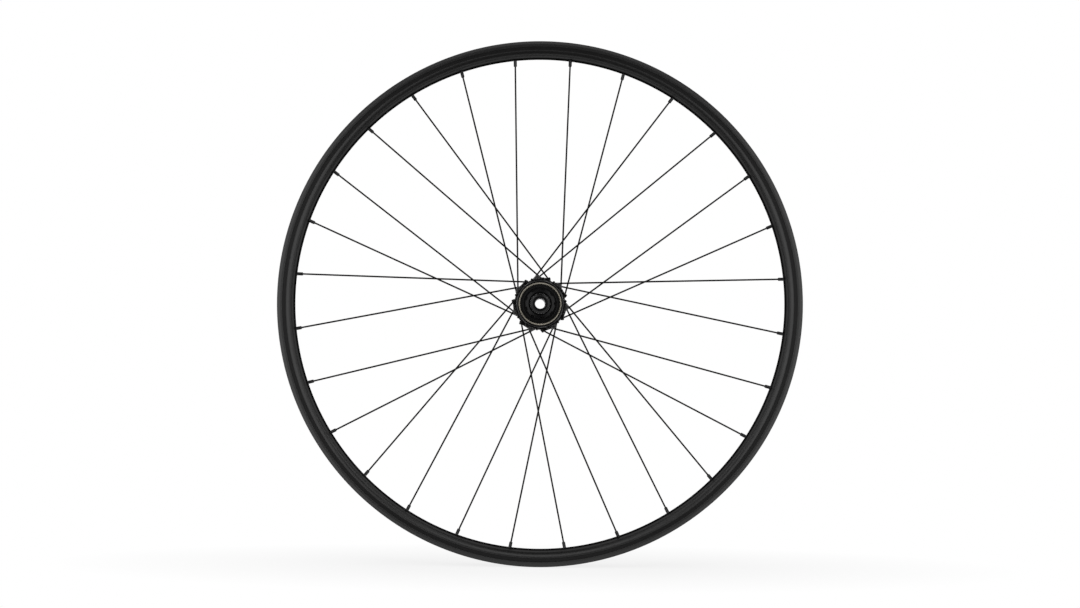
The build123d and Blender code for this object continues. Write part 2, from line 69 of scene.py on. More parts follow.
def roundCorners(rows, steps=5):
    # rows are (x, y, radius): every corner of a closed outline gives way to an arc that touches both sides,
    # and its reach along a side is radius / tan(half the corner's angle), up to a share of the side
    rows = np.asarray(rows, float)
    corners, radii = rows[:, :2], rows[:, 2]
    before = np.roll(corners, 1, axis=0) - corners
    after = np.roll(corners, -1, axis=0) - corners
    sideBefore = np.linalg.norm(before, axis=1)
    sideAfter = np.linalg.norm(after, axis=1)
    before /= sideBefore[:, None]
    after /= sideAfter[:, None]
    half = np.arccos(np.clip(np.sum(before * after, axis=1), -1, 1)) / 2
    half = np.clip(half, *outlineLimits["halfAngle"])
    reach = np.minimum(radii / np.tan(half), outlineLimits["reach"] * np.minimum(sideBefore, sideAfter))
    radius = (reach * np.tan(half))[:, None, None]
    middle = (before + after) / (2 * np.cos(half))[:, None]
    fromCentre = before / np.tan(half)[:, None] - middle / np.sin(half)[:, None]
    toEnd = after / np.tan(half)[:, None] - middle / np.sin(half)[:, None]
    centre = corners[:, None, :] + radius * (middle / np.sin(half)[:, None])[:, None, :]
    sweep = (np.pi - 2 * half)[:, None, None]
    share = np.linspace(0, 1, steps)[None, :, None]
    turn = np.sin((1 - share) * sweep) * fromCentre[:, None, :] + np.sin(share * sweep) * toEnd[:, None, :]
    points = (centre + radius * turn / np.sin(sweep)).reshape(-1, 2)
    apart = np.linalg.norm(points - np.roll(points, 1, axis=0), axis=1)
    return points[apart > outlineLimits["apart"]]


def arcThrough(start, middle, end, count):
    # points on the circle through three points: its centre is equally far from all of them
    start, middle, end = (np.asarray(point, float) for point in (start, middle, end))
    sides = 2 * np.array([middle - start, end - start])
    centre = np.linalg.solve(sides, [middle @ middle - start @ start, end @ end - start @ start])
    first, last = (np.arctan2(*(point - centre)[::-1]) for point in (start, end))
    angle = first + np.linspace(0, 1, count) * ((last - first + np.pi) % (2 * np.pi) - np.pi)
    return centre + np.linalg.norm(start - centre) * np.stack([np.cos(angle), np.sin(angle)], axis=-1)


def bowedArc(start, end, sagitta, count):
    # an arc over a chord, whose middle lies by the sagitta to the right of the way from start to end
    start, end = np.asarray(start, float), np.asarray(end, float)
    way = (end - start) / np.linalg.norm(end - start)
    return arcThrough(start, (start + end) / 2 + sagitta * np.array([way[1], -way[0]]), end, count)


def arcRound(centre, radius, first, last, count):
    # points on a circle about a centre, from the first angle to the last, in degrees
    angle = np.radians(np.linspace(first, last, count))
    return np.asarray(centre) + radius * np.stack([np.cos(angle), np.sin(angle)], axis=-1)


def denser(outline, longest):
    # the sides of a closed outline in equal parts, none longer than asked
    side = np.roll(outline, -1, axis=0) - outline
    parts = np.ceil(np.linalg.norm(side, axis=1) / longest).astype(int)
    place = np.arange(parts.sum()) - np.repeat(np.cumsum(parts) - parts, parts)
    share = place / np.repeat(parts, parts)
    return np.repeat(outline, parts, axis=0) + np.repeat(side, parts, axis=0) * share[:, None]


def turnedBy(points, degrees):
    # an outline turned about the axle, once for each angle
    angle = np.radians(degrees)[:, None]
    x, z = points[:, 0], points[:, 1]
    turned = x * np.cos(angle) - z * np.sin(angle), x * np.sin(angle) + z * np.cos(angle)
    return np.stack(turned, axis=-1)


def placesRound(distance, degrees):
    # points at one distance from the axle, one for each angle, at station 0
    angle = np.radians(degrees)
    return distance * np.stack([np.cos(angle), 0 * angle, np.sin(angle)], axis=-1)


def evenAngles(count, first=0.0):
    # angles in degrees that share out one turn evenly
    return first + np.arange(count) * 360 / count


def ringAngles(count):
    # the same in radians, for the points of a ring
    return np.linspace(0, 2 * np.pi, count, endpoint=False)


def gridQuads(rows, columns, closedRows=True):
    # the four corners of every cell of a grid whose columns close to a ring, and its rows too where asked
    row = np.arange(rows if closedRows else rows - 1)[:, None]
    column = np.arange(columns)[None, :]
    rowNext, columnNext = (row + 1) % rows, (column + 1) % columns
    cells = np.broadcast_arrays(row * columns + column, row * columns + columnNext,
                                rowNext * columns + columnNext, rowNext * columns + column)
    return np.stack(cells, axis=-1).reshape(-1, 4)


def solidMesh(name, points, quads, caps=()):
    # points in millimetres; the corner order is turned round where the signed volume comes out negative
    a, b, c, d = (points[quads[:, k]] for k in range(4))
    volume = np.sum(a * np.cross(b, c)) + np.sum(a * np.cross(c, d))
    volume += sum(np.sum(points[cap[0]] * np.cross(points[cap[1:-1]], points[cap[2:]])) for cap in caps)
    if volume < 0:
        quads, caps = quads[:, ::-1], [cap[::-1] for cap in caps]
    sizes = np.concatenate([np.full(len(quads), 4), [len(cap) for cap in caps]]).astype(np.int32)
    corners = np.concatenate([quads.ravel(), *caps]).astype(np.int32)
    firsts = np.concatenate([[0], np.cumsum(sizes)[:-1]]).astype(np.int32)
    mesh = bpy.data.meshes.new(name)
    mesh.vertices.add(len(points))
    mesh.vertices.foreach_set("co", (points * mm).astype(np.float32).ravel())
    mesh.loops.add(len(corners))
    mesh.loops.foreach_set("vertex_index", corners)
    mesh.polygons.add(len(sizes))
    mesh.polygons.foreach_set("loop_start", firsts)
    mesh.update(calc_edges=True)
    return mesh


def turnedMesh(name, profile, count):
    # a closed profile of (radius, station) carried round the axle
    angle = ringAngles(count)[:, None]
    radius, station = profile[:, 0], profile[:, 1]
    points = np.stack([radius * np.cos(angle), -station + 0 * angle, radius * np.sin(angle)], axis=-1)
    return solidMesh(name, points.reshape(-1, 3), gridQuads(count, len(profile)))


def acrossAxes(direction, axialFrom=0.9):
    # two unit vectors square to each direction: the first lies close to the axle's way, or close to X where
    # the direction itself runs along the axle
    axial = np.abs(direction[:, 1:2]) > axialFrom
    helper = np.where(axial, [[1.0, 0.0, 0.0]], [[0.0, 1.0, 0.0]])
    aside = helper - direction * np.sum(helper * direction, axis=1, keepdims=True)
    aside /= np.linalg.norm(aside, axis=1, keepdims=True)
    return aside, np.cross(direction, aside)


def alongAxes(origin, direction, travel, radius, angle):
    # for each axis, rows of rings: origin + travel along it + radius turned by angle; the radius may change
    # with both
    aside, third = acrossAxes(direction)
    ring = (aside[:, None, None, :] * np.cos(angle)[None, None, :, None]
            + third[:, None, None, :] * np.sin(angle)[None, None, :, None])
    return (origin[:, None, None, :] + direction[:, None, None, :] * travel[None, :, None, None]
            + ring * radius[None, :, :, None])


def barMesh(name, rings):
    # every bar is a tube of rings closed by two flat ends, each in two halves
    bars, rows, columns = rings.shape[:3]
    base = (np.arange(bars) * rows * columns)[:, None, None]
    quads = (gridQuads(rows, columns, closedRows=False)[None] + base).reshape(-1, 4)
    halves = np.arange(columns // 2 + 1), np.append(np.arange(columns // 2, columns), 0)
    caps = [end for first in base.ravel() for half in halves
            for end in (first + half[::-1], first + (rows - 1) * columns + half)]
    return solidMesh(name, rings.reshape(-1, 3), quads, caps)


def roundBars(name, origins, directions, travel, radii, sides=24):
    # bars that are round everywhere, with a radius for each place along them; one direction may serve all
    origins = np.asarray(origins, float)
    directions = np.broadcast_to(np.asarray(directions, float), origins.shape)
    angle = ringAngles(sides)
    rings = np.asarray(radii, float)[:, None] + 0 * angle
    return barMesh(name, alongAxes(origins, directions, np.asarray(travel, float), rings, angle))


def plateMesh(name, outlines, near, far, edge, steps=5, opening=None):
    # outlines (x, z) carried along the axle, with a round at both faces: over the quarter turn u the outline
    # draws in by edge (1 - cos u) while the face comes nearer by edge (1 - sin u); a plate round the axle
    # may have a round opening of its own
    before = outlines - np.roll(outlines, 1, axis=1)
    after = np.roll(outlines, -1, axis=1) - outlines
    way = (before / np.linalg.norm(before, axis=-1, keepdims=True)
           + after / np.linalg.norm(after, axis=-1, keepdims=True))
    inward = np.stack([-way[..., 1], way[..., 0]], axis=-1) * 2 / np.sum(way**2, axis=-1, keepdims=True)
    turn = np.linspace(0, np.pi / 2, steps)
    drawn = edge * (1 - np.cos(np.concatenate([turn[::-1], turn])))
    lift = edge * (1 - np.sin(turn))
    station = np.concatenate([near + lift[::-1], far - lift])
    flat = outlines[:, None] + inward[:, None] * drawn[None, :, None, None]
    depth = np.broadcast_to(-station[None, :, None], flat.shape[:3])
    rings = np.stack([flat[..., 0], depth, flat[..., 1]], axis=-1)
    if opening is None:
        return barMesh(name, rings)
    inside = rings[0, [-1, 0]] * [1, 0, 1]
    inside *= opening / np.linalg.norm(inside, axis=-1, keepdims=True)
    rows = np.concatenate([rings[0], inside + rings[0, [-1, 0]] * [0, 1, 0]])
    return solidMesh(name, rows.reshape(-1, 3), gridQuads(*rows.shape[:2]))


def newPiece(name, mesh, body, slot, replaced, sharpAngle=30):
    # area-weighted normals keep the flat faces flat beside their rounded edges
    piece = bpy.data.objects.new(name, mesh)
    scene.collection.objects.link(piece)
    mesh.shade_smooth()
    mesh.set_sharp_from_angle(angle=np.radians(sharpAngle))
    mesh.materials.clear()
    mesh.materials.append(materials[slot])
    flatten = piece.modifiers.new("flat_faces", "WEIGHTED_NORMAL")
    flatten.keep_sharp = True
    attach(piece, body)
    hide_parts(replaced)
    return piece


def combine(mesh, other, operation):
    # one solid added to or taken out of another; both are used up
    target = bpy.data.objects.new("target", mesh)
    tool = bpy.data.objects.new("tool", other)
    for made in (target, tool):
        scene.collection.objects.link(made)
    step = target.modifiers.new("combine", "BOOLEAN")
    step.operation, step.object, step.solver = operation, tool, "MANIFOLD"
    bpy.context.view_layer.update()
    result = bpy.data.meshes.new_from_object(target.evaluated_get(bpy.context.evaluated_depsgraph_get()))
    for made in (target, tool):
        bpy.data.objects.remove(made)
    bpy.data.meshes.remove(mesh)
    bpy.data.meshes.remove(other)
    return result


def newGroup(name, setting, value, outputs):
    # a shader node group that takes a place and one setting with a value of its own, and puts out values
    group = bpy.data.node_groups.new(name, "ShaderNodeTree")
    sockets = group.interface
    sockets.new_socket(name="Vector", in_out="INPUT", socket_type="NodeSocketVector")
    sockets.new_socket(name=setting, in_out="INPUT", socket_type="NodeSocketFloat").default_value = value
    for label in outputs:
        sockets.new_socket(name=label, in_out="OUTPUT", socket_type="NodeSocketFloat")
    given = group.nodes.new("NodeGroupInput").outputs
    return group, given["Vector"], given[setting], group.nodes.new("NodeGroupOutput").inputs


def addNode(tree, kind, inputs=None, **settings):
    # a node with its settings; an input is linked where its value is a socket, and holds the value otherwise
    node = tree.nodes.new(kind)
    for key, value in settings.items():
        setattr(node, key, value)
    for key, value in (inputs or {}).items():
        if isinstance(value, bpy.types.NodeSocket):
            tree.links.new(value, node.inputs[key])
        else:
            node.inputs[key].default_value = value
    return node


def mathOf(tree, operation, *values):
    # what one arithmetic node puts out
    return addNode(tree, "ShaderNodeMath", dict(enumerate(values)), operation=operation).outputs[0]


def lengthOf(tree, vector, scale):
    # the length of a vector whose parts are scaled first
    scaled = addNode(tree, "ShaderNodeVectorMath", {0: vector, 1: scale}, operation="MULTIPLY")
    measured = addNode(tree, "ShaderNodeVectorMath", {0: scaled.outputs["Vector"]}, operation="LENGTH")
    return measured.outputs["Value"]


def rangeOf(tree, value, given, wanted=(0.0, 1.0)):
    # a value carried over in proportion from a given range to the wanted one, and held at its ends
    (first, last), (least, most) = given, wanted
    node = addNode(tree, "ShaderNodeMapRange", {
        "Value": value, "From Min": first, "From Max": last, "To Min": least, "To Max": most})
    return node.outputs["Result"]


acrossAxle = (1.0, 0.0, 1.0)  # leaves the distance from the axle when a place's length is taken
grainLook = {"scale": 1500.0, "detail": 2.0, "broadShare": 0.23, "broadDetail": 3.0, "broadHeight": 0.5}


def blastedGrain(look):
    # the fine even tooth of a blasted, moulded or sprayed surface: two noises of different size
    group, place, grain, out = newGroup("blasted_grain", "Grain", look["scale"], ("Height", "Tone"))
    fine = addNode(group, "ShaderNodeTexNoise", {"Vector": place, "Scale": grain, "Detail": look["detail"]})
    coarse = mathOf(group, "MULTIPLY", grain, look["broadShare"])
    broad = addNode(group, "ShaderNodeTexNoise",
                    {"Vector": place, "Scale": coarse, "Detail": look["broadDetail"]})
    both = mathOf(group, "MULTIPLY_ADD", broad.outputs["Fac"], look["broadHeight"], fine.outputs["Fac"])
    group.links.new(both, out["Height"])
    group.links.new(broad.outputs["Fac"], out["Tone"])
    return group


latheLook = {"pitch": 0.0003, "feedScale": 0.4, "feedDetail": 3.0}


def latheMarks(look):
    # fine rings left by the turning tool: a sine of radius plus station, one wave to the pitch, shifted by
    # the tool's uneven feed and brought between 0 and 1
    group, place, pitch, out = newGroup("lathe_marks", "Pitch", look["pitch"], ("Height", "Tone"))
    parts = addNode(group, "ShaderNodeSeparateXYZ", {"Vector": place})
    travel = mathOf(group, "ADD", lengthOf(group, place, acrossAxle), parts.outputs["Y"])
    rings = mathOf(group, "DIVIDE", travel, pitch)
    feed = addNode(group, "ShaderNodeTexNoise",
                   {"W": rings, "Scale": look["feedScale"], "Detail": look["feedDetail"]},
                   noise_dimensions="1D").outputs["Fac"]
    wave = mathOf(group, "SINE", mathOf(group, "MULTIPLY_ADD", rings, 2 * np.pi, feed))
    group.links.new(mathOf(group, "MULTIPLY_ADD", wave, 0.5, 0.5), out["Height"])
    group.links.new(feed, out["Tone"])
    return group


hazeLook = {"size": 14.0, "detail": 5.0, "roughness": 0.6, "distortion": 0.4, "clearToFull": (0.3, 0.72)}


def handlingHaze(look):
    # broad soft patches where hands and dust have dulled a surface a little
    group, place, size, out = newGroup("handling_haze", "Size", look["size"], ("Haze",))
    patches = addNode(group, "ShaderNodeTexNoise", {
        "Vector": place, "Scale": size, "Detail": look["detail"], "Roughness": look["roughness"],
        "Distortion": look["distortion"]})
    group.links.new(rangeOf(group, patches.outputs["Fac"], look["clearToFull"]), out["Haze"])
    return group


grainGroup, latheGroup, hazeGroup = blastedGrain(grainLook), latheMarks(latheLook), handlingHaze(hazeLook)

finishMix = {
    "hazeShare": 0.6,  # how much the haze counts beside the surface's own tone
    "darkUpTo": 0.25,  # the mix at which the dark colour starts to give way
    "mixes": (0.2, 1.1),  # the mixes that get the first and the second roughness
    "lacquerLeft": 0.8,  # share of the lacquer's weight where the haze is thickest
}


def lacquerWeight(tree, place, mixed, coats):
    # a weight that goes by the distance from the axle, over pairs of (radius, weight), and is a little less
    # in the haze
    radii, weights = zip(*coats)
    nearest, farthest = radii[0], radii[-1]
    travel = rangeOf(tree, lengthOf(tree, place, acrossAxle), (nearest, farthest))
    weight = addNode(tree, "ShaderNodeValToRGB", {"Fac": travel})
    stops = weight.color_ramp.elements
    for at in radii[1:-1]:
        stops.new((at - nearest) / (farthest - nearest))
    for stop, amount in zip(stops, weights):
        stop.color = (amount, amount, amount, 1)
    left = rangeOf(tree, mixed, finishMix["mixes"], (1.0, finishMix["lacquerLeft"]))
    return mathOf(tree, "MULTIPLY", weight.outputs["Color"], left)


def finishOf(name, look):
    # a finish from its values: two close colours and two roughnesses mixed by haze and grain, and a bump
    material = bpy.data.materials.new(name)
    material.use_nodes = True
    tree = material.node_tree
    shader = tree.nodes["Principled BSDF"]
    shader.inputs["Metallic"].default_value = look["metallic"]
    shader.inputs["Specular IOR Level"].default_value = look["specular"]
    place = addNode(tree, "ShaderNodeTexCoord").outputs["Object"]
    haze = addNode(tree, "ShaderNodeGroup", node_tree=hazeGroup)
    haze.inputs["Size"].default_value = look["hazeSize"]
    surface = addNode(tree, "ShaderNodeGroup", node_tree=latheGroup if "pitch" in look else grainGroup)
    if "pitch" in look:
        surface.inputs["Pitch"].default_value = look["pitch"]
    else:
        surface.inputs["Grain"].default_value = look["grain"]
    for group in (haze, surface):
        tree.links.new(place, group.inputs["Vector"])
    mixed = mathOf(tree, "MULTIPLY_ADD",
                   haze.outputs["Haze"], finishMix["hazeShare"], surface.outputs["Tone"])
    colour = addNode(tree, "ShaderNodeValToRGB", {"Fac": mixed})
    for stop, key in zip(colour.color_ramp.elements, ("dark", "light")):
        stop.color = (*look[key], 1)
    colour.color_ramp.elements[0].position = finishMix["darkUpTo"]
    if "lacquer" in look:
        shader.inputs["Coat Roughness"].default_value = look["lacquerRoughness"]
        tree.links.new(lacquerWeight(tree, place, mixed, look["lacquer"]), shader.inputs["Coat Weight"])
    gloss = rangeOf(tree, mixed, finishMix["mixes"], look["roughness"])
    bump = addNode(tree, "ShaderNodeBump", {
        "Height": surface.outputs["Height"], "Distance": look["depth"], "Strength": look["bump"]})
    tree.links.new(colour.outputs["Color"], shader.inputs["Base Color"])
    tree.links.new(gloss, shader.inputs["Roughness"])
    tree.links.new(bump.outputs["Normal"], shader.inputs["Normal"])
    return material


# grain, haze size and lathe pitch are read on coordinates in metres; the bump's depth is in metres too
black = {"metallic": 0.0, "depth": 0.00003}
bareMetal = {"metallic": 1.0, "specular": 0.5, "depth": 0.00002}
finishes = {
    "rim": black | {
        "dark": (0.0046, 0.0045, 0.0046), "light": (0.0078, 0.0076, 0.0077), "specular": 0.0,
        "roughness": (0.45, 0.60), "grain": 1800.0, "hazeSize": 16.0, "bump": 0.12, "depth": 0.00004,
        "lacquerRoughness": 0.28,
        # radius and weight: bare on the spoke bed, full on the walls, thin in the groove
        "lacquer": ((0.2974, 0.0), (0.2992, 1.0), (0.3057, 1.0), (0.3064, 0.36), (0.3102, 0.36),
                    (0.3108, 1.0), (0.3170, 1.0))},
    "spoke": black | {
        "dark": (0.0022, 0.0021, 0.0020), "light": (0.0044, 0.0041, 0.0038), "specular": 0.06,
        "roughness": (0.30, 0.40), "grain": 3200.0, "hazeSize": 60.0, "bump": 0.08},
    "nipple": black | {
        "dark": (0.0030, 0.0030, 0.0034), "light": (0.0060, 0.0062, 0.0072), "specular": 0.5,
        "roughness": (0.22, 0.32), "grain": 4000.0, "hazeSize": 70.0, "bump": 0.08},
    "hub": black | {
        "dark": (0.0010, 0.0010, 0.0012), "light": (0.0020, 0.0020, 0.0023), "specular": 0.36,
        "roughness": (0.13, 0.19), "grain": 2600.0, "hazeSize": 40.0, "bump": 0.06},
    "freehub": black | {
        "dark": (0.0011, 0.0011, 0.0013), "light": (0.0022, 0.0022, 0.0025), "specular": 0.2,
        "roughness": (0.20, 0.28), "pitch": 0.00035, "hazeSize": 55.0, "bump": 0.15, "depth": 0.00002},
    "end_cap": black | {
        "dark": (0.0010, 0.0010, 0.0012), "light": (0.0020, 0.0020, 0.0023), "specular": 0.32,
        "roughness": (0.18, 0.26), "pitch": 0.00025, "hazeSize": 60.0, "bump": 0.15, "depth": 0.00002},
    "axle": bareMetal | {
        "dark": (0.42, 0.42, 0.43), "light": (0.62, 0.62, 0.63),
        "roughness": (0.28, 0.42), "pitch": 0.00030, "hazeSize": 50.0, "bump": 0.4},
    "drive_ring": bareMetal | {
        "dark": (0.26, 0.240, 0.198), "light": (0.40, 0.373, 0.315),
        "roughness": (0.30, 0.44), "pitch": 0.00022, "hazeSize": 60.0, "bump": 0.4},
    "bearing": bareMetal | {
        "dark": (0.48, 0.48, 0.49), "light": (0.64, 0.64, 0.65),
        "roughness": (0.18, 0.30), "pitch": 0.00015, "hazeSize": 80.0, "bump": 0.2, "depth": 0.00001},
    "pawl": bareMetal | {
        "dark": (0.34, 0.34, 0.35), "light": (0.50, 0.50, 0.51),
        "roughness": (0.30, 0.42), "grain": 5000.0, "hazeSize": 120.0, "bump": 0.2},
    "seal": black | {
        "dark": (0.0014, 0.0014, 0.0014), "light": (0.0026, 0.0026, 0.0026), "specular": 0.1,
        "roughness": (0.55, 0.72), "grain": 3000.0, "hazeSize": 60.0, "bump": 0.12, "depth": 0.00004},
}
materials = {slot: finishOf(slot, look) for slot, look in finishes.items()}
slotOf = {row["node"]: row["material_slot"] for row in frame["record"]["subparts"]}
for node, obj in nodes.items():
    obj.data.materials.clear()
    obj.data.materials.append(materials[slotOf[node]])
print("finishes made:", len(materials))


def spokeAxis(node):
    # a spoke's line from its mesh: the direction it spreads along, and its thick end is the head
    found = np.zeros(len(node.data.vertices) * 3, np.float32)
    node.data.vertices.foreach_get("co", found)
    points = found.reshape(-1, 3).astype(float) / mm
    middle = points.mean(axis=0)
    along = np.linalg.svd(points - middle, full_matrices=False)[2][0]
    travel = (points - middle) @ along
    away = np.linalg.norm(points - middle - travel[:, None] * along, axis=1)
    if travel[np.argmax(away)] > 0:
        along, travel = -along, -travel
    return middle + along * travel.min(), along, travel.max() - travel.min()


axes = {name: spokeAxis(obj) for name, obj in nodes.items() if name.startswith("spoke_")}
starts = np.array([axis[0] for axis in axes.values()])
ways = np.array([axis[1] for axis in axes.values()])
lengths = np.array([axis[2] for axis in axes.values()])
print("spoke lines read:", len(axes), "mean length", round(float(lengths.mean()), 2))

spokeShape = {
    # travel from the head's top and radius there
    "head": ((0.0, 1.0), (0.08, 1.4), (0.25, 1.7), (0.5, 1.86), (0.7, 1.9), (1.6, 1.9), (1.74, 1.86),
             (1.8, 1.74)),
    "neck": ((1.84, 1.14), (2.0, 1.04), (2.3, 1.0)),
    "radius": 1.0,
    "endBevel": 0.25,
    "pastSeat": 1.0,  # how far it reaches past its nipple's seat
    "sides": 28,
}
# where each nipple's head sits in the bed
seats = starts + ways * (lengths - spokeShape["pastSeat"])[:, None]


def spokeMesh(name, shape, start, way, length):
    # a button head, a small fillet under it and a plain round shank, as rings along the spoke's line
    bevel, radius = shape["endBevel"], shape["radius"]
    rows = np.array([*shape["head"], *shape["neck"], (length - bevel, radius), (length, radius - bevel)])
    return roundBars(name, [start], [way], rows[:, 0], rows[:, 1], shape["sides"])


for name, (start, way, length) in axes.items():
    newPiece(name + "_dressed", spokeMesh(name, spokeShape, start, way, length), "wheel", "spoke", name)
print("spokes:", len(axes))

rimShape = {
    "bed": (296.9, 297.4, 9.0),  # radius in the middle and at the edge, half width
    "wall": (300.462, 14.375),  # a point on the bulged side wall
    "wallPoints": 9,
    "shoulder": (305.8, 17.5),
    "groove": (306.7, 310.0, 16.6),  # floor from radius to radius, half width there
    "grooveEdge": (310.9, 17.5),
    "crease": (313.2, 17.5),
    "edge": (316.8, 16.8, 15.0),  # top of the bead wall, outside and inside
    "seat": (311.0, 15.0, 10.5),
    "well": (306.4, 7.5),
    "rounds": {"bedEdge": 1.4, "shoulder": 0.9, "grooveFloor": 0.5, "grooveEdge": 0.7, "crease": 6.0,
               "edgeOut": 0.5, "edgeIn": 0.7, "seatOut": 0.9, "seatIn": 1.0, "well": 2.5},
    # radius and half width of the chamber at its bed, its side wall, its top and its well
    "hollow": (298.7, 9.0, 305.8, 15.5, 309.7, 10.5, 305.3, 7.5),
    "hollowWall": (301.244, 13.601),  # a point on the inside of the side wall
    "hollowWallPoints": 5,
    "nippleHole": (2.15, -5.0, 2.0),  # radius, from and to along the spoke, past the nipple's seat
    "accessHole": (4.2, 4.0, 20.0),
    "accessSides": 32,
    "valve": {"start": 290.0, "floor": 7.4, "end": 22.0, "seatRadius": 5.0, "holeRadius": 3.25,
              "shoulder": 0.0001, "sides": 48},  # floor and end are measured from the start
    "segments": 540,
    "hollowSegments": 240,
}


def mirroredProfile(rows):
    # half a section, in rows of (radius, station, corner radius), and its mirror image across station 0
    rows = np.array(rows, float)
    return roundCorners(np.concatenate([rows, (rows * [1, -1, 1])[-2:0:-1]]))


def rimProfile(shape):
    # half the section from the bed's middle round to the well's middle, with every edge rounded
    bedR, bedEdgeR, bedHalf = shape["bed"]
    wall = arcThrough((bedEdgeR, bedHalf), shape["wall"], shape["shoulder"], shape["wallPoints"])
    grooveIn, grooveOut, grooveHalf = shape["groove"]
    edgeR, edgeOut, edgeIn = shape["edge"]
    seatR, seatOut, seatIn = shape["seat"]
    wellR, wellHalf = shape["well"]
    rounds = shape["rounds"]
    return mirroredProfile([
        (bedR, 0.0, 0.0), (*wall[0], rounds["bedEdge"]), *[(*point, 0.0) for point in wall[1:-1]],
        (*wall[-1], rounds["shoulder"]), (grooveIn, grooveHalf, rounds["grooveFloor"]),
        (grooveOut, grooveHalf, rounds["grooveFloor"]), (*shape["grooveEdge"], rounds["grooveEdge"]),
        (*shape["crease"], rounds["crease"]), (edgeR, edgeOut, rounds["edgeOut"]),
        (edgeR, edgeIn, rounds["edgeIn"]), (seatR, seatOut, rounds["seatOut"]),
        (seatR, seatIn, rounds["seatIn"]), (wellR, wellHalf, rounds["well"]), (wellR, 0.0, 0.0)])


def hollowProfile(shape):
    # half the closed chamber between the walls, from the bed round to the well, with sharp corners
    bedR, bedHalf, wallR, wallHalf, topR, topHalf, wellR, wellHalf = shape["hollow"]
    wall = arcThrough((bedR, bedHalf), shape["hollowWall"], (wallR, wallHalf), shape["hollowWallPoints"])
    corners = [(bedR, 0.0), *wall, (topR, wallHalf), (topR, topHalf), (wellR, wellHalf), (wellR, 0.0)]
    return mirroredProfile([(*corner, 0.0) for corner in corners])


def rimMesh(shape):
    # the turned section less its chamber, the nipple and access holes on the spokes' lines and the valve's
    ring = turnedMesh("rim_outer", rimProfile(shape), shape["segments"])
    hollow = turnedMesh("rim_hollow", hollowProfile(shape), shape["hollowSegments"])
    ring = combine(ring, hollow, "DIFFERENCE")
    holeR, *reach = shape["nippleHole"]
    ring = combine(ring, roundBars("nipple_holes", seats, ways, reach, [holeR, holeR]), "DIFFERENCE")
    accessR, *reach = shape["accessHole"]
    access = roundBars("access_holes", seats, ways, reach, [accessR, accessR], shape["accessSides"])
    ring = combine(ring, access, "DIFFERENCE")
    valve = shape["valve"]
    travel = [0.0, valve["floor"], valve["floor"] + valve["shoulder"], valve["end"]]
    radii = [valve["seatRadius"], valve["seatRadius"], valve["holeRadius"], valve["holeRadius"]]
    drill = roundBars("valve_hole", [(0, 0, valve["start"])], [(0, 0, 1)], travel, radii, valve["sides"])
    return combine(ring, drill, "DIFFERENCE")


rim = newPiece("rim_dressed", rimMesh(rimShape), "wheel", "rim", "rim")
print("rim:", len(rim.data.polygons), "faces")

nippleShape = {
    "stations": (-9.0, -8.75, -8.3, -3.4, -2.4, 0.1, 2.5, 2.7),
    "radius": (1.45, 1.75, 2.0, 2.0, 2.0, 2.0, 2.82, 2.7),
    "square": (0.6, 0.85, 1.0, 1.0, 0.0, 0.0, 0.0, 0.0),  # 1 where the four flats are full
    "halfFlats": 1.65,
    "corner": 1.97,
    "bore": ((1.2, 1.05), (-8.85, 1.15)),  # place and radius at its floor and its mouth
    "sides": 32,
}


def nippleMesh(shape):
    # the barrel's ring is a square rounded off at the corners, a corner towards each end of the axle: half
    # the flats / cos of the angle from a flat's middle, never past the round; the bore runs back inside from
    # the end that faces the hub
    angle = ringAngles(shape["sides"])
    fromFlat = angle % (np.pi / 2) - np.pi / 4
    square = np.minimum(shape["halfFlats"] / np.cos(fromFlat), shape["corner"])
    radius = np.array(shape["radius"])[:, None]
    share = np.array(shape["square"])[:, None]
    outside = share * np.minimum(square, radius) + (1 - share) * radius
    bore = np.array(shape["bore"])
    travel = np.concatenate([bore[:, 0], shape["stations"]])
    rings = np.concatenate([bore[:, 1:] + 0 * angle, outside])
    return barMesh("nipples_dressed", alongAxes(seats, ways, travel, rings, angle))


nipples = newPiece("nipples_dressed", nippleMesh(nippleShape), "wheel", "nipple", "nipples")
print("nipples:", len(nipples.data.polygons), "faces")

